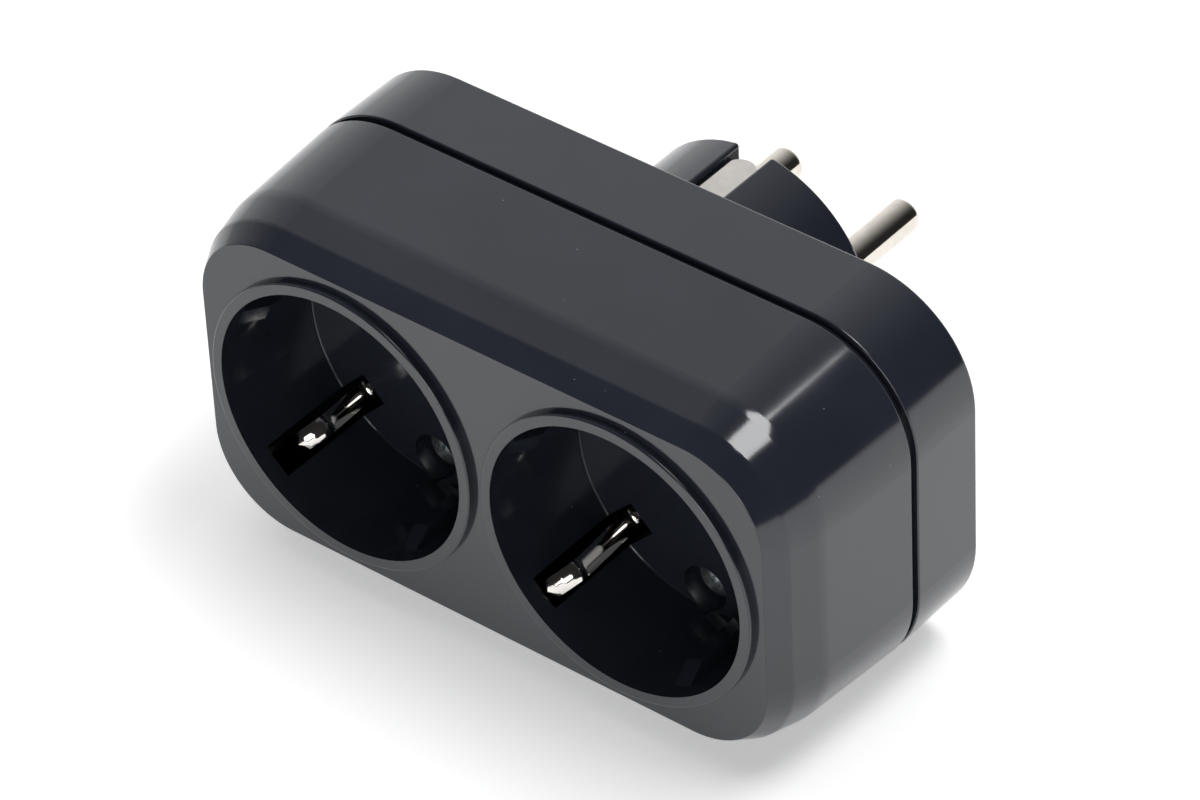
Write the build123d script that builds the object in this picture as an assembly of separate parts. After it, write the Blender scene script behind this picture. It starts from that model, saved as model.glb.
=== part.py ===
from build123d import *
from math import cos, radians, sin
import os

# Two-way adapter for earthed round-pin plugs, millimetres.
# X runs along the housing, +Y from the socket mouths towards the wall, +Z up.
# The pieces are drawn with depth 0 at the socket mouths and height 0 at the socket axes.

# Housing
housing_width = 96.7
housing_height = 53.3
corner_radius = 15.8
wall = 2.4
rear_wall = 2.0
parting_depth = 26.1
rear_depth = 38.9
draft_angle = 3.6
side_bevel_depth = 4.9
side_bevel_angle = 13.8
side_bevel_blend = 8.0
front_bevel_depth = 3.05
front_bevel_angle = 29.8
front_bevel_blend = 1.5
rear_edge_radius = 0.5
face_edge_radius = 0.25
groove_edge_radius = 0.25
groove_width = 1.15
groove_depth = 1.0
tongue_wall = 1.2
tongue_length = 2.0
tongue_clearance = 0.15

# Socket wells
socket_spacing = 43.8
recess_radius = 19.45
recess_depth = 17.5
floor_wall = 2.5
well_wall = 2.0
ring_width = 1.6
ring_height = 1.0
ring_edge_radius = 0.3
floor_edge_radius = 0.3
web_width = 6.0
web_height = 16.0

# Guide ribs in the wells, in pairs on either side of the pin axis
rib_spread = 21.0
rib_width = 2.8
rib_height = 1.65
rib_start = 2.5
rib_slope = 3.6

# Plug pins and the holes for them
pin_radius = 2.4
pin_length = 19.0
pin_spacing = 19.0
pin_end_radius = 0.7
pin_root_radius = 2.0
pin_hole_clearance = 0.25
pin_seat_clearance = 0.03
socket_pin_angle = 135.0

# Plug body
plug_radius = 18.0
plug_length = 18.9
plug_edge_radius = 0.4
plug_cavity_radius = 14.4
plug_face_wall = 3.0
notch_width = 4.9
notch_floor = 16.0
notch_edge_radius = 0.5
notch_relief_floor = 14.6
notch_relief_length = 2.4
guide_groove_width = 3.4
guide_groove_depth = 1.1

# Earth strips
strip_thickness = 0.8
bow_width = 2.7
bow_edge_radius = 0.35
bow_tip_radius = 0.9
bow_foot_radius = 19.5
bow_bend = 1.2
bow_pad_length = 24.0
bow_pad_width = 5.0
slot_clearance = 1.0
slot_start = 2.6
slot_inner = 13.9
slot_outer = 22.6
tip_depth_right = 3.1
tip_depth_left = 7.2
crest_depth_right = 6.2
crest_depth_left = 10.6
crest_radius_right = 15.0
crest_radius_left = 16.6
tip_radius_right = 18.9
tip_radius_left = 19.9
plug_bow_width = 4.4
plug_bow_end_gap = 1.3
plug_bow_gap = 2.1
earth_bar_width = 5.0
earth_bar_overhang = 3.5

# Live strips
post_height = 6.1
bar_width = 6.0
bar_overhang = 4.6
bar_tail = 9.1
eye_radius = 4.6
eye_clearance = 0.5
leg_width = 5.0
leg_inset = 0.3
leg_foot_reach = 2.6
post_radius = 1.8
outer_post_reach = 7.1
inner_post_reach = 11.6

# Pin contacts
contact_wall = 0.7
contact_length = 5.2
contact_split = 1.0
contact_foot_width = 5.0
contact_foot_length = 8.4
contact_rivet_reach = 6.3

# Rivets and pillar
rivet_radius = 0.9
rivet_head_radius = 1.6
rivet_head_height = 0.7
rivet_clearance = 0.03
head_clearance = 0.1
pin_tail_radius = 1.5
pin_head_radius = 1.9
pin_head_height = 0.8
pillar_radius = 1.6

# Housing screws
screw_offset = 16.3
screw_recess_radius = 3.3
screw_head_radius = 2.6
screw_head_height = 1.6
screw_head_sink = 1.3
screw_radius = 1.4
screw_clearance = 0.05
screw_boss_radius = 4.6
screw_boss_wall = 2.5
screw_grip = 9.5
pillar_boss_radius = 3.8

# Values that follow from the sizes above
face_depth = ring_height
front_rear_edge = parting_depth - groove_width / 2
cover_front_edge = parting_depth + groove_width / 2
floor_back = recess_depth + floor_wall
cover_inside = rear_depth - rear_wall
plug_end = rear_depth + plug_length
plug_inside = plug_end - plug_face_wall
overall_depth = plug_end + pin_length
socket_x = {"left": -socket_spacing / 2, "right": socket_spacing / 2}
pin_reach = pin_spacing / 2
pin_hole_x = pin_reach * cos(radians(socket_pin_angle))
bar_height = pin_reach * sin(radians(socket_pin_angle))
line_eyes = [socket_x["left"] + pin_hole_x, socket_x["right"] + pin_hole_x]
screw_seat = recess_depth + screw_head_sink + screw_head_height
screw_boss_end = screw_seat + screw_boss_wall
earth_angle = socket_pin_angle - 90
bar_back = cover_inside - post_height
bar_depth = bar_back - strip_thickness
plug_bow_depth = cover_inside - plug_bow_gap - strip_thickness
bow_back = floor_back + strip_thickness
earth_bar_back = bow_back + strip_thickness
half_turn = Rot(0, 180, 0)


def at_depth(depth):
    """Plane across the housing at a depth, seen from the front with Z up."""
    return Plane(origin=(0, depth, 0), x_dir=(1, 0, 0), z_dir=(0, -1, 0))


def along_radius(x, angle):
    """Plane through a socket axis, drawn in radius and depth."""
    turn = radians(angle)
    return Plane(origin=(x, 0, 0), x_dir=(cos(turn), 0, sin(turn)), z_dir=(-sin(turn), 0, cos(turn)))


def prism(outline, near, far):
    """Front-view outline carried from one depth to another."""
    return extrude(at_depth(far) * outline, amount=far - near)


def rod(x, z, radius, near, far):
    return prism(Pos(x, z) * Circle(radius), near, far)


def turned(points, x, z):
    """Solid of revolution about an axis along Y, drawn in radius and depth."""
    plane = Plane(origin=(x, 0, z), x_dir=(1, 0, 0), z_dir=(0, 0, 1))
    profile = make_face(Polyline(*points, close=True))
    return revolve(plane * profile, axis=Axis((x, 0, z), (0, 1, 0)))


def housing_outline(inset):
    width = housing_width - 2 * inset
    height = housing_height - 2 * inset
    return RectangleRounded(width, height, corner_radius - inset)


def bevelled_block(inset, near, far):
    """Drafted housing form whose front edge slopes in over two bevels."""
    drafted = far - near - side_bevel_depth - front_bevel_depth
    block = extrude(at_depth(far) * housing_outline(inset), amount=drafted, taper=draft_angle)
    for depth, angle in ((side_bevel_depth, side_bevel_angle), (front_bevel_depth, front_bevel_angle)):
        front = block.faces().sort_by(Axis.Y)[0]
        block += extrude(front, amount=depth, taper=angle)
    rims = block.edges().filter_by(Plane.XZ).group_by(Axis.Y)
    block = fillet(rims[-2], side_bevel_blend)
    rims = block.edges().filter_by(Plane.XZ).group_by(Axis.Y)
    return fillet(rims[1], front_bevel_blend)


def strip(points, bends, width, plane):
    """Flat strip folded along a path, centred on the plane it is drawn in."""
    path = FilletPolyline(*points, radius=bends)
    return extrude(plane * trace(path, strip_thickness), amount=width / 2, both=True)


def guide_rib(x, angle):
    """Rib up the well wall with a sloping front end."""
    crest = recess_radius - rib_height
    root = recess_radius + well_wall / 2
    profile = Polyline(
        (root, rib_start),
        (recess_radius, rib_start),
        (crest, rib_start + rib_slope),
        (crest, recess_depth + floor_wall / 2),
        (root, recess_depth + floor_wall / 2),
        close=True,
    )
    return extrude(along_radius(x, angle) * make_face(profile), amount=rib_width / 2, both=True)


def socket_well(x):
    """Ring, cup wall and floor of one socket, still without its openings."""
    ring = rod(x, 0, recess_radius + ring_width, 0, face_depth + wall)
    ring = fillet(ring.edges().group_by(Axis.Y)[0], ring_edge_radius)
    cup = rod(x, 0, recess_radius + well_wall, face_depth, floor_back)
    recess = rod(x, 0, recess_radius, 0, recess_depth)
    recess = fillet(recess.edges().group_by(Axis.Y)[-1], floor_edge_radius)
    well = ring + cup - recess
    for side in (socket_pin_angle, socket_pin_angle + 180):
        for spread in (-rib_spread, rib_spread):
            well += guide_rib(x, side + spread)
    for height in (-screw_offset, screw_offset):
        well += rod(x, height, screw_boss_radius, recess_depth + floor_wall / 2, screw_boss_end)
    return well


def socket_openings(x):
    """What is cut through the floor and wall of one socket."""
    slot_width = bow_width + 2 * slot_clearance
    cuts = []
    for angle in (earth_angle, earth_angle + 180):
        profile = Polyline(
            (slot_inner, slot_start),
            (slot_outer, slot_start),
            (slot_outer, floor_back + floor_wall),
            (slot_inner, floor_back + floor_wall),
            close=True,
        )
        cuts.append(extrude(along_radius(x, angle) * make_face(profile), amount=slot_width / 2, both=True))
    for angle in (socket_pin_angle, socket_pin_angle + 180):
        hole_x = x + pin_reach * cos(radians(angle))
        hole_z = pin_reach * sin(radians(angle))
        cuts.append(rod(hole_x, hole_z, pin_radius + pin_hole_clearance, recess_depth, floor_back))
    for height in (-screw_offset, screw_offset):
        cuts.append(rod(x, height, screw_recess_radius, recess_depth - screw_head_sink, screw_seat))
        cuts.append(rod(x, height, screw_radius + screw_clearance, screw_seat, screw_boss_end))
    relief = floor_back - rivet_head_height - head_clearance
    cuts.append(rod(x, 0, rivet_head_radius + head_clearance, relief, floor_back))
    return cuts


def front_housing():
    """Front moulding: bevelled shell, two wells with rings, ribs, slots and screw bosses."""
    body = bevelled_block(0, face_depth, front_rear_edge)
    body = fillet(body.faces().sort_by(Axis.Y)[0].edges(), face_edge_radius)
    body = fillet(body.faces().sort_by(Axis.Y)[-1].edges(), groove_edge_radius)
    body -= bevelled_block(wall, face_depth + wall, front_rear_edge)
    rabbet = front_rear_edge - tongue_length - tongue_clearance
    body -= prism(housing_outline(groove_depth - tongue_clearance), rabbet, front_rear_edge)
    for x in socket_x.values():
        body -= rod(x, 0, recess_radius + well_wall / 2, face_depth, face_depth + wall)
    for x in socket_x.values():
        body += socket_well(x)
    web = prism(Rectangle(web_width, web_height), face_depth + wall / 2, floor_back)
    for x in socket_x.values():
        web -= rod(x, 0, recess_radius + well_wall / 2, face_depth, floor_back)
    body += web
    for x in socket_x.values():
        for cut in socket_openings(x):
            body -= cut
    return body


def plug_body():
    """Round plug with an earth notch above and below and guide grooves beside the pins."""
    body = rod(0, 0, plug_radius, cover_inside, plug_end)
    body = fillet(body.edges().group_by(Axis.Y)[-1], plug_edge_radius)
    notch_height = plug_radius - notch_floor
    relief_height = plug_radius - notch_relief_floor
    for side in (-1, 1):
        notch = Pos(0, side * (notch_floor + notch_height)) * Rectangle(notch_width, 2 * notch_height)
        body -= prism(notch, rear_depth, plug_end)
        relief_middle = notch_relief_floor + relief_height
        relief = Pos(0, side * relief_middle) * Rectangle(notch_width, 2 * relief_height)
        body -= prism(relief, plug_end - notch_relief_length, plug_end)
    lip_height = notch_floor + notch_height / 2
    lips = body.edges().filter_by(Axis.Y).filter_by(lambda edge: abs(edge.center().Z) > lip_height)
    body = fillet(lips, notch_edge_radius)
    groove = Pos(plug_radius, 0) * Rectangle(2 * guide_groove_depth, guide_groove_width)
    for angle in (rib_spread, -rib_spread, 180 + rib_spread, 180 - rib_spread):
        body -= prism(Rot(0, 0, angle) * groove, rear_depth, plug_end)
    return body


def rear_cover():
    """Rear moulding: tray with a locating tongue, screw pillars, bar posts and the plug."""
    tray = prism(housing_outline(0), cover_front_edge, rear_depth)
    tray = fillet(tray.faces().sort_by(Axis.Y)[-1].edges(), rear_edge_radius)
    tray = fillet(tray.faces().sort_by(Axis.Y)[0].edges(), groove_edge_radius)
    tongue_front = front_rear_edge - tongue_length
    tray += prism(housing_outline(groove_depth), tongue_front, cover_front_edge)
    tray -= prism(housing_outline(groove_depth + tongue_wall), tongue_front, cover_inside)
    cover = tray + plug_body() - rod(0, 0, plug_cavity_radius, cover_inside, plug_inside)
    for x in socket_x.values():
        for height in (-screw_offset, screw_offset):
            cover += rod(x, height, pillar_boss_radius, screw_boss_end, cover_inside)
            cover -= rod(x, height, screw_radius + screw_clearance, screw_boss_end, cover_inside)
    for post_x in (line_eyes[0] + inner_post_reach, line_eyes[1] + outer_post_reach):
        post = rod(post_x, bar_height, post_radius, bar_back, cover_inside)
        cover += post
        cover += half_turn * post
    for x in (-pin_reach, pin_reach):
        cover -= rod(x, 0, pin_root_radius + pin_seat_clearance, plug_inside, plug_end)
    for side in (-1, 1):
        arm = Pos(0, side * (notch_floor + strip_thickness / 2)) * Rectangle(notch_width, strip_thickness)
        cover -= prism(arm, cover_inside, rear_depth)
    return cover


def plug_pin(x):
    """Turned pin, shouldered on the plug face, its tail peened over the foot of its strip."""
    foot_front = plug_inside - 2 * strip_thickness
    shoulder = foot_front + strip_thickness
    profile = [
        (0, foot_front - pin_head_height),
        (pin_head_radius, foot_front - pin_head_height),
        (pin_head_radius, foot_front),
        (pin_tail_radius, foot_front),
        (pin_tail_radius, shoulder),
        (pin_root_radius, shoulder),
        (pin_root_radius, plug_end),
        (pin_radius, plug_end),
        (pin_radius, overall_depth),
        (0, overall_depth),
    ]
    pin = turned(profile, x, 0)
    return fillet(pin.edges().group_by(Axis.Y)[-1], pin_end_radius)


def live_strip():
    """Stamped strip with an eye at each contact and a leg folded back to its plug pin."""
    first, last = line_eyes
    left = first - bar_overhang
    right = last + bar_tail
    outline = Pos((left + right) / 2, bar_height) * Rectangle(right - left, bar_width)
    for x in line_eyes:
        outline += Pos(x, bar_height) * Circle(eye_radius)
    for x in line_eyes:
        outline -= Pos(x, bar_height) * Circle(pin_radius + eye_clearance)
    bar = prism(outline, bar_depth, bar_back)
    middle = strip_thickness / 2
    lower_edge = bar_height - bar_width / 2
    leg_line = lower_edge - leg_inset - middle
    foot_front = plug_inside - 2 * strip_thickness
    foot_depth = foot_front + middle
    path = [
        (bar_height, bar_depth + middle),
        (leg_line, bar_depth + middle),
        (leg_line, foot_depth),
        (-leg_foot_reach, foot_depth),
    ]
    side_view = Plane(origin=(-pin_reach, 0, 0), x_dir=(0, 0, 1), z_dir=(-1, 0, 0))
    bar += strip(path, strip_thickness, leg_width, side_view)
    for x in (line_eyes[0] + contact_rivet_reach, line_eyes[1] - contact_rivet_reach):
        bar -= rod(x, bar_height, rivet_radius + rivet_clearance, bar_depth, bar_back)
    tail_hole = pin_tail_radius + rivet_clearance
    return bar - rod(-pin_reach, 0, tail_hole, foot_front, foot_front + strip_thickness)


def pin_contact(x, side):
    """Split spring sleeve with a riveted foot that reaches to one side along the strip."""
    sleeve_radius = pin_radius + contact_wall
    foot_front = bar_depth - contact_wall
    foot_x = x + side * contact_foot_length / 2
    foot = Pos(foot_x, bar_height) * Rectangle(contact_foot_length, contact_foot_width)
    contact = rod(x, bar_height, sleeve_radius, bar_depth - contact_length, bar_depth)
    contact += prism(foot, foot_front, bar_depth)
    contact -= rod(x, bar_height, pin_radius, bar_depth - contact_length, bar_depth)
    split_length = 2 * (contact_wall + contact_split)
    split = Pos(x - side * sleeve_radius, bar_height) * Rectangle(split_length, contact_split)
    contact -= prism(split, bar_depth - contact_length, bar_depth)
    rivet_x = x + side * contact_rivet_reach
    return contact - rod(rivet_x, bar_height, rivet_radius + rivet_clearance, foot_front, bar_depth)


def rivet(x, z, near, far):
    """Rivet through the sheets between two depths, headed on both sides."""
    profile = [
        (0, near - rivet_head_height),
        (rivet_head_radius, near - rivet_head_height),
        (rivet_head_radius, near),
        (rivet_radius, near),
        (rivet_radius, far),
        (rivet_head_radius, far),
        (rivet_head_radius, far + rivet_head_height),
        (0, far + rivet_head_height),
    ]
    return turned(profile, x, z)


def earth_bow(x, tip, crest):
    """Spring strip behind a socket floor whose two arms lean in through the wall slots."""
    middle = floor_back + strip_thickness / 2
    arm = [tip, crest, (bow_foot_radius, middle)]
    path = [(-radius, depth) for radius, depth in arm] + arm[::-1]
    plane = along_radius(x, earth_angle)
    line = plane * FilletPolyline(*path, radius=bow_bend)
    start = Plane(origin=line @ 0, x_dir=plane.z_dir, z_dir=line % 0)
    bow = sweep(start * RectangleRounded(bow_width, strip_thickness, bow_edge_radius), path=line)
    tip_end = tip[1] - strip_thickness
    face = Plane(origin=(x, 0, 0), x_dir=plane.z_dir, z_dir=plane.x_dir)
    length = bow_back - tip_end
    tongue = Pos(0, -(tip_end + length)) * RectangleRounded(bow_width, 2 * length, bow_tip_radius)
    bow = bow & extrude(face * tongue, amount=2 * bow_foot_radius, both=True)
    pad = Pos(x, 0) * SlotOverall(bow_pad_length, bow_pad_width, rotation=earth_angle)
    bow += prism(pad, floor_back, bow_back)
    return bow - rod(x, 0, rivet_radius + rivet_clearance, floor_back, bow_back)


def earth_bar():
    """Strip that joins the two socket bows, with a middle hole for the pillar."""
    length = socket_spacing + 2 * earth_bar_overhang
    bar = prism(SlotOverall(length, earth_bar_width), bow_back, earth_bar_back)
    for x in (*socket_x.values(), 0):
        bar -= rod(x, 0, rivet_radius + rivet_clearance, bow_back, earth_bar_back)
    return bar


def earth_pillar():
    """Turned post from the earth bar to the plug bow, peened at both ends."""
    far = plug_bow_depth
    profile = [
        (0, bow_back - rivet_head_height),
        (rivet_head_radius, bow_back - rivet_head_height),
        (rivet_head_radius, bow_back),
        (rivet_radius, bow_back),
        (rivet_radius, earth_bar_back),
        (pillar_radius, earth_bar_back),
        (pillar_radius, far),
        (rivet_radius, far),
        (rivet_radius, far + strip_thickness),
        (rivet_head_radius, far + strip_thickness),
        (rivet_head_radius, far + strip_thickness + rivet_head_height),
        (0, far + strip_thickness + rivet_head_height),
    ]
    return turned(profile, 0, 0)


def plug_earth_bow():
    """Hairpin strip whose arms lie in the two notches of the plug."""
    line = notch_floor + strip_thickness / 2
    middle = plug_bow_depth + strip_thickness / 2
    end = plug_end - plug_bow_end_gap
    path = [(-line, end), (-line, middle), (line, middle), (line, end)]
    side_view = Plane(origin=(0, 0, 0), x_dir=(0, 0, 1), z_dir=(-1, 0, 0))
    bow = strip(path, bow_bend, plug_bow_width, side_view)
    length = end - plug_bow_depth
    tongue = Pos(0, plug_bow_depth) * SlotOverall(2 * length, plug_bow_width, rotation=90)
    top_view = Plane(origin=(0, 0, 0), x_dir=(1, 0, 0), z_dir=(0, 0, 1))
    bow = bow & extrude(top_view * tongue, amount=plug_radius, both=True)
    return bow - rod(0, 0, rivet_radius + rivet_clearance, plug_bow_depth, plug_bow_depth + strip_thickness)


def housing_screw(x, z):
    """Pan-head screw, its thread and cross recess left plain."""
    profile = [
        (0, screw_seat - screw_head_height),
        (screw_head_radius, screw_seat - screw_head_height),
        (screw_head_radius, screw_seat),
        (screw_radius, screw_seat),
        (screw_radius, screw_boss_end + screw_grip),
        (0, screw_boss_end + screw_grip),
    ]
    screw = turned(profile, x, z)
    return fillet(screw.edges().group_by(Axis.Y)[0], screw_head_height / 2)


# All pieces by name
pieces = {
    "front_housing": front_housing(),
    "rear_cover": rear_cover(),
    "plug_pin_left": plug_pin(-pin_reach),
    "plug_pin_right": plug_pin(pin_reach),
    "plug_earth_bow": plug_earth_bow(),
    "earth_bar": earth_bar(),
    "earth_pillar": earth_pillar(),
    "line_busbar": live_strip(),
    "neutral_busbar": half_turn * live_strip(),
}
pieces["earth_bow_left"] = earth_bow(
    socket_x["left"], (tip_radius_left, tip_depth_left), (crest_radius_left, crest_depth_left)
)
pieces["earth_bow_right"] = earth_bow(
    socket_x["right"], (tip_radius_right, tip_depth_right), (crest_radius_right, crest_depth_right)
)
for name, x in socket_x.items():
    pieces["earth_rivet_" + name] = rivet(x, 0, floor_back, earth_bar_back)
    pieces["screw_" + name + "_lower"] = housing_screw(x, -screw_offset)
    pieces["screw_" + name + "_upper"] = housing_screw(x, screw_offset)
for name, other, eye, side in (("left", "right", line_eyes[0], 1), ("right", "left", line_eyes[1], -1)):
    contact = pin_contact(eye, side)
    fixing = rivet(eye + side * contact_rivet_reach, bar_height, bar_depth - contact_wall, bar_back)
    pieces["line_contact_" + name] = contact
    pieces["line_rivet_" + name] = fixing
    pieces["neutral_contact_" + other] = half_turn * contact
    pieces["neutral_rivet_" + other] = half_turn * fixing

# The origin lies under the middle of the adapter as it stands on its long side
stand = Pos(0, -overall_depth / 2, housing_height / 2)
os.makedirs("parts", exist_ok=True)
for name, piece in pieces.items():
    export_step(stand * piece, "parts/" + name + ".step")
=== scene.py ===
from math import cos, pi, radians, sin, sqrt, tan

import bmesh
import bpy
from mathutils import Matrix, Vector


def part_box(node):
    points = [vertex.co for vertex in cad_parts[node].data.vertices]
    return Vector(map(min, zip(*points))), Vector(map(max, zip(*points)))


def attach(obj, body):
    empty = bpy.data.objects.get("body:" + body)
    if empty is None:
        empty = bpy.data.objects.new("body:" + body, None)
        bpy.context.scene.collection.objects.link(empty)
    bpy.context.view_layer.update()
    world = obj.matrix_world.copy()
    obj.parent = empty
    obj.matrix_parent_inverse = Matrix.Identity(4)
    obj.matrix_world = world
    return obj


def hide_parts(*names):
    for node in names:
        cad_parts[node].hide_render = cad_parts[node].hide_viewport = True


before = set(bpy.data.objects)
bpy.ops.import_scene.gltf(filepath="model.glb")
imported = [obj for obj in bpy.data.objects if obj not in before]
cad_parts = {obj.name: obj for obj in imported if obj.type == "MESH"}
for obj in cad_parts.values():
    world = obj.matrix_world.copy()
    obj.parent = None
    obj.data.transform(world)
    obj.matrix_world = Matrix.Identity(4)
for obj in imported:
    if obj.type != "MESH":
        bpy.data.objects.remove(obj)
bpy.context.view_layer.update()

MM = 0.001
WHITE = (1, 1, 1, 1)
SQUARE = ((-1, -1), (1, -1), (1, 1), (-1, 1))

# Camera: angles in degrees, the rest in millimetres
CAMERA_AZIMUTH = 40.402
CAMERA_ELEVATION = 39.192
CAMERA_ROLL = -2.957
CAMERA_DISTANCE = 813.3
CAMERA_OFFSET = (15.521, 11.750)
CAMERA_LENS = 197.74
CAMERA_SENSOR = 36.0
CAMERA_CLIP = 10.0

# The point the camera turns about lies on the mouth plane, midway between the sockets
MOUTH_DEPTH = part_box("front_housing")[0].y
SOCKET_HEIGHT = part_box("front_housing")[1].z / 2

# The part of a noise pattern's range that is used, and its detail
NOISE_LOW = 0.3
NOISE_HIGH = 0.7
NOISE_DETAIL = 3.0
CLOUDY_DETAIL = 4.0

# Housing plastic: linear colours, and the sizes of its patterns in millimetres
HOUSING_COLOUR = (0.021, 0.025, 0.036)
HOUSING_SHADES = (0.9, 1.12)
HOUSING_ROUGHNESS = (0.11, 0.14)
HOUSING_IOR = 1.5
HOUSING_SPECULAR = 0.75
FLOW_SIZE = 14.0
SKIN_SIZE = 0.35
SKIN_RELIEF = 0.0025
SKIN_STRENGTH = 0.6
DUST_COLOUR = (0.34, 0.35, 0.36)
DUST_SPACING = 1.5
DUST_RADIUS = 0.10
DUST_SHARE = 0.06
SPECK_CORE = 0.3
SPECK_STEP = 0.99

# Plated and bare metal: linear colour, roughness where it is smooth and where it is worn
METALS = {
    "plated_brass": ((0.80, 0.75, 0.68), 0.08, 0.15),
    "plated_spring": ((0.84, 0.81, 0.77), 0.06, 0.12),
    "bare_brass": ((0.72, 0.50, 0.20), 0.2, 0.32),
}
TARNISH_SIZE = 2.2
TARNISH_SHADE = 0.88
GRAIN_SIZE = 0.12
GRAIN_RELIEF = 0.002
GRAIN_STRENGTH = 0.5

# Zinc plate of the screws
ZINC_COLOUR = (0.66, 0.74, 0.78)
ZINC_WARM = (0.74, 0.76, 0.72)
ZINC_ROUGHNESS = (0.32, 0.48)
ZINC_CLOUD_SIZE = 0.8
ZINC_GRAIN_SIZE = 0.1
ZINC_RELIEF = 0.01

# Material of a node by a word in its name; all others are bare brass
NODE_SLOTS = (
    ("housing", "housing_plastic"),
    ("cover", "housing_plastic"),
    ("plug_pin", "plated_brass"),
    ("bow", "plated_spring"),
    ("earth_bar", "plated_spring"),
    ("screw", "zinc_steel"),
)

# Studio: floor and panels in metres and watts; a panel has a place, a size, a power and may be reflected
FLOOR_REACH = 3.0
FLOOR_COLOUR = (0.92, 0.92, 0.92)
FLOOR_ROUGHNESS = 0.9
FLOOR_GLOW = 0.42
PANELS = {
    "softbox": ((0.40, 0.30, 1.40), (0.80, 0.50), 10.0, True),
    "front": ((0.34, -0.88, 0.24), (0.55, 0.32), 2.2, True),
    "fill": ((-0.4, 0.3, 1.7), (2.4, 2.4), 12.0, False),
}

# The studio's walls: pale towards this direction, dark away from it
PALE_SIDE = (-0.65, 0.76, 0.0)
PALE_FROM = 0.08
PALE_CURVE = 1.5
DARK_SIDE = 0.02

# Cross-head screws: millimetres and degrees
SCREWS = ("screw_left_lower", "screw_left_upper", "screw_right_lower", "screw_right_upper")
HEAD_HEIGHT = 1.6
HEAD_SEGMENTS = 64
DOME_RADIUS = 3.6
DOME_EDGE = 0.2
DOME_STEPS = 10
SHANK_RADIUS = 1.4
POINT_RADIUS = 0.35
POINT_LENGTH = 1.2
CROSS_LENGTH = 3.1
CROSS_WIDTH = 0.75
CROSS_DEPTH = 1.4
CROSS_ABOVE = 0.6
CROSS_TAPER = 0.55
CROSS_TURN = 20.0
SCREW_CREASE = 35

# Earth springs: millimetres and degrees; places are (radius, depth) from the socket axis and the mouth plane
SPRING_ANGLE = 45.0
SPRING_TIP = {"left": (19.9, 7.2), "right": (18.9, 3.1)}
SPRING_CREST = {"left": (16.6, 10.6), "right": (15.0, 6.2)}
SPRING_FOOT = (19.5, 20.4)
SPRING_BEND = 1.5
SPRING_BEND_STEPS = 8
SPRING_BOW = 0.45
SPRING_BOW_SHARES = (0.25, 0.5, 0.75)
SPRING_WIDTH = 2.7
SPRING_THICKNESS = 0.8
SPRING_CROWN = 0.35
SPRING_CROWN_STEPS = 10
SPRING_EDGE = 0.25
SPRING_TIP_RADIUS = 0.9
SPRING_TIP_SHARES = (0.02, 0.15, 0.35, 0.65, 1.0)
SPRING_PAD = (24.0, 5.0)
SPRING_PAD_TURNS = range(0, 91, 10)
SPRING_CREASE = 40


def new_material(name):
    """Node material, its shader and its object coordinates in millimetres."""
    material = bpy.data.materials.new(name)
    material.use_nodes = True
    nodes = material.node_tree.nodes
    shader = nodes["Principled BSDF"]
    coords = nodes.new("ShaderNodeTexCoord")
    scaled = nodes.new("ShaderNodeMapping")
    scaled.inputs["Scale"].default_value = (1 / MM, 1 / MM, 1 / MM)
    material.node_tree.links.new(coords.outputs["Object"], scaled.inputs["Vector"])
    return material, shader, scaled.outputs["Vector"]


def noise(material, vector, size, detail=NOISE_DETAIL):
    """Noise whose features are about `size` millimetres across."""
    node = material.node_tree.nodes.new("ShaderNodeTexNoise")
    node.inputs["Scale"].default_value = 1 / size
    node.inputs["Detail"].default_value = detail
    material.node_tree.links.new(vector, node.inputs["Vector"])
    return node.outputs["Fac"]


def ramp(material, value, low, high, from_low=NOISE_LOW, from_high=NOISE_HIGH):
    """Maps a texture value onto a range."""
    node = material.node_tree.nodes.new("ShaderNodeMapRange")
    node.inputs["From Min"].default_value = from_low
    node.inputs["From Max"].default_value = from_high
    node.inputs["To Min"].default_value = low
    node.inputs["To Max"].default_value = high
    material.node_tree.links.new(value, node.inputs["Value"])
    return node.outputs["Result"]


def blend(material, factor, first, second):
    """Mixes two colours, each a colour or a node output."""
    node = material.node_tree.nodes.new("ShaderNodeMix")
    node.data_type = "RGBA"
    material.node_tree.links.new(factor, node.inputs["Factor"])
    for socket, value in ((node.inputs[6], first), (node.inputs[7], second)):
        if isinstance(value, tuple):
            socket.default_value = (*value, 1.0)
        else:
            material.node_tree.links.new(value, socket)
    return node.outputs[2]


def combine(tree, operation, first, second):
    """Calculates with a node output and a second one, or a number."""
    node = tree.nodes.new("ShaderNodeMath")
    node.operation = operation
    tree.links.new(first, node.inputs[0])
    if isinstance(second, float):
        node.inputs[1].default_value = second
    else:
        tree.links.new(second, node.inputs[1])
    return node.outputs["Value"]


def bump(material, shader, height, distance, strength=1.0):
    """Small relief, its depth in millimetres."""
    node = material.node_tree.nodes.new("ShaderNodeBump")
    node.inputs["Strength"].default_value = strength
    node.inputs["Distance"].default_value = distance * MM
    material.node_tree.links.new(height, node.inputs["Height"])
    material.node_tree.links.new(node.outputs["Normal"], shader.inputs["Normal"])


def specks(material, vector, spacing, radius, share):
    """Sparse round specks: one in some cells of a grid, as a 0 to 1 mask."""
    tree = material.node_tree
    cells = tree.nodes.new("ShaderNodeTexVoronoi")
    cells.inputs["Scale"].default_value = 1 / spacing
    tree.links.new(vector, cells.inputs["Vector"])
    edge = radius / spacing
    near = ramp(material, cells.outputs["Distance"], 1.0, 0.0, SPECK_CORE * edge, edge)
    split = tree.nodes.new("ShaderNodeSeparateColor")
    tree.links.new(cells.outputs["Color"], split.inputs["Color"])
    chosen = ramp(material, split.outputs["Red"], 0.0, 1.0, 1 - share, 1 - SPECK_STEP * share)
    return combine(tree, "MULTIPLY", near, chosen)


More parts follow.
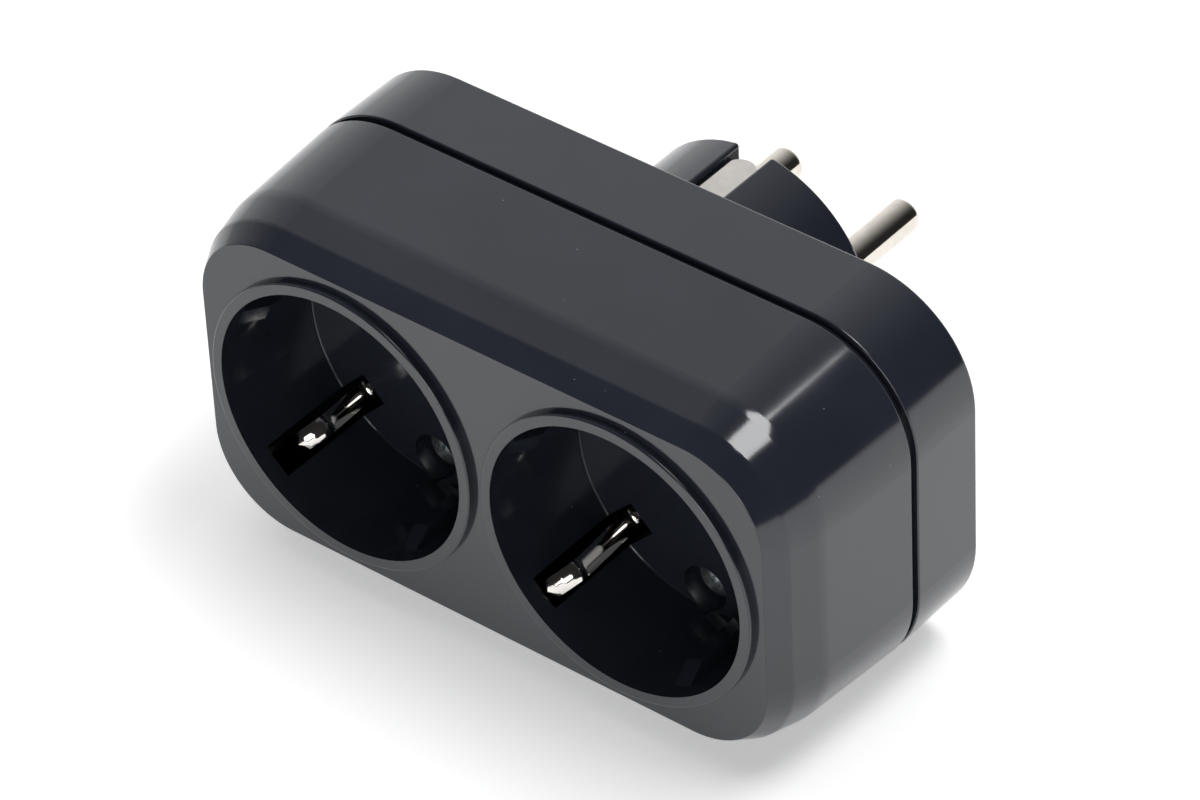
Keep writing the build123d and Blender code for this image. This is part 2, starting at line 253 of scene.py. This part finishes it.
def housing_plastic():
    """Glossy moulded plastic, blue-black, with a faint flow pattern and a little dust."""
    material, shader, vector = new_material("housing_plastic")
    links = material.node_tree.links
    flow = noise(material, vector, FLOW_SIZE)
    skin = noise(material, vector, SKIN_SIZE)
    deep, pale = (tuple(shade * part for part in HOUSING_COLOUR) for shade in HOUSING_SHADES)
    colour = blend(material, ramp(material, flow, 0.0, 1.0), deep, pale)
    dust = specks(material, vector, DUST_SPACING, DUST_RADIUS, DUST_SHARE)
    links.new(blend(material, dust, colour, DUST_COLOUR), shader.inputs["Base Color"])
    links.new(ramp(material, flow, *HOUSING_ROUGHNESS), shader.inputs["Roughness"])
    shader.inputs["IOR"].default_value = HOUSING_IOR
    shader.inputs["Specular IOR Level"].default_value = HOUSING_SPECULAR
    bump(material, shader, skin, SKIN_RELIEF, SKIN_STRENGTH)
    return material


def worn_metal(name, colour, smooth, worn):
    """Metal with tarnish in patches and a fine grain."""
    material, shader, vector = new_material(name)
    links = material.node_tree.links
    tarnish = noise(material, vector, TARNISH_SIZE, CLOUDY_DETAIL)
    grain = noise(material, vector, GRAIN_SIZE)
    dull = tuple(TARNISH_SHADE * part for part in colour)
    links.new(blend(material, ramp(material, tarnish, 0.0, 1.0), dull, colour), shader.inputs["Base Color"])
    links.new(ramp(material, tarnish, worn, smooth), shader.inputs["Roughness"])
    shader.inputs["Metallic"].default_value = 1.0
    bump(material, shader, grain, GRAIN_RELIEF, GRAIN_STRENGTH)
    return material


def zinc_steel():
    """Blue zinc plate with the cloudy look of a tumbled fastener."""
    material, shader, vector = new_material("zinc_steel")
    links = material.node_tree.links
    cloud = noise(material, vector, ZINC_CLOUD_SIZE, CLOUDY_DETAIL)
    grain = noise(material, vector, ZINC_GRAIN_SIZE)
    colour = blend(material, ramp(material, cloud, 0.0, 1.0), ZINC_COLOUR, ZINC_WARM)
    links.new(colour, shader.inputs["Base Color"])
    links.new(ramp(material, cloud, *ZINC_ROUGHNESS), shader.inputs["Roughness"])
    shader.inputs["Metallic"].default_value = 1.0
    bump(material, shader, grain, ZINC_RELIEF)
    return material


def make_materials():
    """All materials, by the name of their slot."""
    materials = {"housing_plastic": housing_plastic()}
    for name, look in METALS.items():
        materials[name] = worn_metal(name, *look)
    materials["zinc_steel"] = zinc_steel()
    return materials


def dress(materials):
    """Gives each solid the material of its slot."""
    for name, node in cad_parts.items():
        slot = next((slot for word, slot in NODE_SLOTS if word in name), "bare_brass")
        node.data.materials.clear()
        node.data.materials.append(materials[slot])


def mesh_object(name, mesh):
    """New object in the scene."""
    piece = bpy.data.objects.new(name, mesh)
    bpy.context.collection.objects.link(piece)
    return piece


def closed_object(name, form):
    """New object from a closed form, its faces turned outwards."""
    bmesh.ops.recalc_face_normals(form, faces=form.faces)
    mesh = bpy.data.meshes.new(name)
    form.to_mesh(mesh)
    form.free()
    return mesh_object(name, mesh)


def finish_piece(piece, node, material, crease):
    """Shades a new piece, lets it ride on the body and puts it in the place of its solid."""
    piece.data.materials.clear()
    piece.data.materials.append(material)
    piece.data.shade_smooth()
    piece.data.set_sharp_from_angle(angle=radians(crease))
    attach(piece, "root")
    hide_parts(node)


def lathe(name, profile, segments):
    """Solid turned about Y from (radius, depth) points that start and end on the axis."""
    form = bmesh.new()
    rings = []
    for radius, depth in profile[1:-1]:
        ring = []
        for step in range(segments):
            turn = 2 * pi * step / segments
            ring.append(form.verts.new((radius * cos(turn) * MM, depth * MM, radius * sin(turn) * MM)))
        rings.append(ring)
    first = form.verts.new((0, profile[0][1] * MM, 0))
    last = form.verts.new((0, profile[-1][1] * MM, 0))
    for step in range(segments):
        after = (step + 1) % segments
        form.faces.new((first, rings[0][step], rings[0][after]))
        for near, far in zip(rings, rings[1:]):
            form.faces.new((near[step], far[step], far[after], near[after]))
        form.faces.new((last, rings[-1][after], rings[-1][step]))
    return closed_object(name, form)


def cross_cutter():
    """Two crossing bars that taper to the bottom of the recess."""
    form = bmesh.new()
    for length, width in ((CROSS_LENGTH, CROSS_WIDTH), (CROSS_WIDTH, CROSS_LENGTH)):
        corners = []
        for level, shrink in ((-CROSS_ABOVE, 1.0), (CROSS_DEPTH, CROSS_TAPER)):
            for x, z in SQUARE:
                corner = (x * length / 2 * shrink * MM, level * MM, z * width / 2 * shrink * MM)
                corners.append(form.verts.new(corner))
        near, far = corners[:4], corners[4:]
        form.faces.new(near)
        form.faces.new(far[::-1])
        for step in range(4):
            after = (step + 1) % 4
            form.faces.new((near[step], far[step], far[after], near[after]))
    return closed_object("cross", form)


def screw_profile(head, length):
    """(radius, depth) points of a screw: domed head, shank and point."""
    profile = [(0, 0)]
    for step in range(1, DOME_STEPS + 1):
        radius = (head - DOME_EDGE) * step / DOME_STEPS
        profile.append((radius, DOME_RADIUS - sqrt(DOME_RADIUS ** 2 - radius ** 2)))
    profile += [(head, profile[-1][1] + DOME_EDGE), (head, HEAD_HEIGHT), (SHANK_RADIUS, HEAD_HEIGHT)]
    profile += [(SHANK_RADIUS, length - POINT_LENGTH), (POINT_RADIUS, length), (0, length)]
    return profile


def cut_cross(piece):
    """Cuts the cross recess into the head of a screw."""
    cutter = cross_cutter()
    cut = piece.modifiers.new("cross", "BOOLEAN")
    cut.object = cutter
    cut.use_self = True
    bpy.context.view_layer.update()
    cut_piece = piece.evaluated_get(bpy.context.evaluated_depsgraph_get())
    mesh = bpy.data.meshes.new_from_object(cut_piece)
    piece.modifiers.clear()
    piece.data = mesh
    bpy.data.objects.remove(cutter)


def cross_head_screw(node, material):
    """Screw with a domed head and its cross recess, in the place and size of its solid."""
    low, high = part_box(node)
    middle = (low + high) / 2
    head = (high.x - low.x) / 2 / MM
    length = (high.y - low.y) / MM
    piece = lathe(node + "_cross_head", screw_profile(head, length), HEAD_SEGMENTS)
    cut_cross(piece)
    turn = Matrix.Rotation(radians(CROSS_TURN), 4, "Y")
    piece.matrix_world = Matrix.Translation((middle.x, low.y, middle.z)) @ turn
    finish_piece(piece, node, material, SCREW_CREASE)


def rounded_path(points, radius, steps):
    """Points along a polyline whose inner corners are rounded."""
    path = [points[0]]
    for before, corner, after in zip(points, points[1:], points[2:]):
        into = (corner - before).normalized()
        out = (after - corner).normalized()
        reach = radius * tan(into.angle(out) / 2)
        start, end = corner - into * reach, corner + out * reach
        for step in range(steps + 1):
            share = step / steps
            path.append(start * (1 - share) ** 2 + corner * 2 * share * (1 - share) + end * share ** 2)
    return path + [points[-1]]


def spring_arm(tip, crest):
    """Lead-in that bows towards the socket axis, the crest and the leg down to the foot."""
    tip, crest, foot = Vector(tip), Vector(crest), Vector(SPRING_FOOT)
    along = (crest - tip).normalized()
    inward = Vector((-along.y, along.x)) * SPRING_BOW
    bowed = [tip + (crest - tip) * share + inward * sin(pi * share) for share in SPRING_BOW_SHARES]
    return [tip, *bowed, crest, foot]


def spring_section(half):
    """Crowned front and flat back of the strip, as (across, above) points."""
    front = SPRING_THICKNESS / 2
    points = []
    for step in range(SPRING_CROWN_STEPS + 1):
        across = half * (1 - 2 * step / SPRING_CROWN_STEPS)
        points.append((across, front - SPRING_CROWN * (across / half) ** 2))
    edge = min(half, SPRING_EDGE)
    return points + [(-half, -front / 2), (edge - half, -front), (half - edge, -front), (half, -front / 2)]


def tip_half_width(distance):
    """Half width of the strip near its rounded end."""
    half = SPRING_WIDTH / 2
    if distance >= SPRING_TIP_RADIUS:
        return half
    short = SPRING_TIP_RADIUS - distance
    return half - SPRING_TIP_RADIUS + sqrt(SPRING_TIP_RADIUS ** 2 - short ** 2)


def tip_steps(path):
    """The path with a few more points at each end, where the strip rounds off."""
    first = (path[1] - path[0]).normalized()
    last = (path[-2] - path[-1]).normalized()
    start = [path[0] + first * SPRING_TIP_RADIUS * share for share in SPRING_TIP_SHARES]
    end = [path[-1] + last * SPRING_TIP_RADIUS * share for share in SPRING_TIP_SHARES]
    return [path[0], *start, *path[1:-1], *end[::-1], path[-1]]


def pad_half_width(point):
    """Half width of the rounded pad in the middle of a spring, where the rivet holds it."""
    length, width = SPRING_PAD
    past = max(abs(point.x) - (length - width) / 2, 0.0)
    if point.y < SPRING_FOOT[1] or past > width / 2:
        return 0.0
    return sqrt((width / 2) ** 2 - past ** 2)


def pad_steps(path):
    """The path with points along its straight base, closer together where the pad rounds off."""
    length, width = SPRING_PAD
    reach = [(length - width) / 2 + width / 2 * sin(radians(turn)) for turn in SPRING_PAD_TURNS]
    along = [-radius for radius in reach[::-1]] + reach
    base = [Vector((radius, SPRING_FOOT[1])) for radius in along]
    middle = len(path) // 2
    return path[:middle] + base + path[middle:]


def spring_path(side):
    """Centre line of a spring from tip to tip, as (radius, depth) points."""
    arm = spring_arm(SPRING_TIP[side], SPRING_CREST[side])
    points = [Vector((-point.x, point.y)) for point in arm] + arm[::-1]
    return tip_steps(pad_steps(rounded_path(points, SPRING_BEND, SPRING_BEND_STEPS)))


def spring_rings(form, path, centre):
    """A ring of corners at each point of the path, with the section that the strip has there."""
    turn = radians(SPRING_ANGLE)
    radial = Vector((cos(turn), 0, sin(turn)))
    across = Vector((-sin(turn), 0, cos(turn)))
    deep = Vector((0, 1, 0))
    rings = []
    for step, point in enumerate(path):
        before, after = path[max(step - 1, 0)], path[min(step + 1, len(path) - 1)]
        tangent = (after - before).normalized()
        above = radial * tangent.y - deep * tangent.x
        end = min((point - path[0]).length, (point - path[-1]).length)
        middle = centre + (radial * point.x + deep * point.y) * MM
        section = spring_section(max(tip_half_width(end), pad_half_width(point)))
        rings.append([form.verts.new(middle + (across * w + above * h) * MM) for w, h in section])
    return rings


def earth_spring(side, material):
    """Spring strip of one socket with its crowned arms and the pad behind the socket floor."""
    node = "earth_bow_" + side
    low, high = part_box(node)
    centre = Vector(((low.x + high.x) / 2, MOUTH_DEPTH, SOCKET_HEIGHT))
    form = bmesh.new()
    rings = spring_rings(form, spring_path(side), centre)
    for near, far in zip(rings, rings[1:]):
        for one in range(len(near)):
            two = (one + 1) % len(near)
            form.faces.new((near[one], near[two], far[two], far[one]))
    form.faces.new(rings[0])
    form.faces.new(rings[-1][::-1])
    piece = closed_object(node + "_spring", form)
    finish_piece(piece, node, material, SPRING_CREASE)


def add_camera():
    """Camera at the viewing angle of the photograph."""
    a, e, roll = (radians(angle) for angle in (CAMERA_AZIMUTH, CAMERA_ELEVATION, CAMERA_ROLL))
    back = Vector((sin(a) * cos(e), -cos(a) * cos(e), sin(e)))
    level = Vector((cos(a), sin(a), 0))
    upright = back.cross(level)
    right = cos(roll) * level + sin(roll) * upright
    up = cos(roll) * upright - sin(roll) * level
    target = Vector((0, MOUTH_DEPTH, SOCKET_HEIGHT))
    place = target + (back * CAMERA_DISTANCE + right * CAMERA_OFFSET[0] + up * CAMERA_OFFSET[1]) * MM
    data = bpy.data.cameras.new("camera")
    data.sensor_fit = "HORIZONTAL"
    data.sensor_width = CAMERA_SENSOR
    data.lens = CAMERA_LENS
    data.clip_start = CAMERA_CLIP * MM
    camera = bpy.data.objects.new("camera", data)
    bpy.context.collection.objects.link(camera)
    turn = Matrix((right, up, back)).transposed().to_4x4()
    camera.matrix_world = Matrix.Translation(place) @ turn
    bpy.context.scene.camera = camera


def direct_rays(tree):
    """1 for rays from the camera, a reflection or a refraction, otherwise 0."""
    path = tree.nodes.new("ShaderNodeLightPath")
    total = path.outputs["Is Camera Ray"]
    for name in ("Is Glossy Ray", "Is Transmission Ray"):
        total = combine(tree, "MAXIMUM", total, path.outputs[name])
    return total


def add_floor():
    """Plain white table that keeps the soft shadow."""
    mesh = bpy.data.meshes.new("floor")
    corners = [(x * FLOOR_REACH, y * FLOOR_REACH, 0) for x, y in SQUARE]
    mesh.from_pydata(corners, [], [(0, 1, 2, 3)])
    floor = mesh_object("floor", mesh)
    material = bpy.data.materials.new("floor")
    material.use_nodes = True
    tree = material.node_tree
    shader = tree.nodes["Principled BSDF"]
    shader.inputs["Base Color"].default_value = (*FLOOR_COLOUR, 1)
    shader.inputs["Roughness"].default_value = FLOOR_ROUGHNESS
    shader.inputs["Specular IOR Level"].default_value = 0.0
    shader.inputs["Emission Color"].default_value = WHITE
    glow = combine(tree, "MULTIPLY", direct_rays(tree), FLOOR_GLOW)
    tree.links.new(glow, shader.inputs["Emission Strength"])
    mesh.materials.append(material)


def add_panel(name, place, size, power, reflected):
    """Soft panel light that looks at the middle of the object."""
    data = bpy.data.lights.new(name, "AREA")
    data.shape = "RECTANGLE"
    data.size, data.size_y = size
    data.energy = power
    lamp = bpy.data.objects.new(name, data)
    bpy.context.collection.objects.link(lamp)
    lamp.location = place
    lamp.rotation_euler = (-Vector(place)).to_track_quat("-Z", "Y").to_euler()
    lamp.visible_glossy = reflected
    lamp.visible_camera = False


def add_world():
    """Studio that is pale towards one side and dark towards the other."""
    world = bpy.data.worlds.new("studio")
    bpy.context.scene.world = world
    world.use_nodes = True
    tree = world.node_tree
    coords = tree.nodes.new("ShaderNodeTexCoord")
    along = tree.nodes.new("ShaderNodeVectorMath")
    along.operation = "DOT_PRODUCT"
    along.inputs[1].default_value = PALE_SIDE
    tree.links.new(coords.outputs["Generated"], along.inputs[0])
    level = tree.nodes.new("ShaderNodeMapRange")
    level.inputs["From Min"].default_value = PALE_FROM
    level.inputs["From Max"].default_value = 1.0
    tree.links.new(along.outputs["Value"], level.inputs["Value"])
    curve = combine(tree, "POWER", level.outputs["Result"], PALE_CURVE)
    strength = combine(tree, "ADD", curve, DARK_SIDE)
    back = tree.nodes["Background"]
    back.inputs["Color"].default_value = WHITE
    tree.links.new(strength, back.inputs["Strength"])


def add_light():
    """Softbox overhead that shows in the front corner, a low panel in front and an even fill."""
    add_world()
    for name, panel in PANELS.items():
        add_panel(name, *panel)


materials = make_materials()
dress(materials)
for node in SCREWS:
    cross_head_screw(node, materials["zinc_steel"])
for side in ("left", "right"):
    earth_spring(side, materials["plated_spring"])
add_floor()
add_light()
add_camera()
bpy.context.scene.view_settings.view_transform = "Standard"
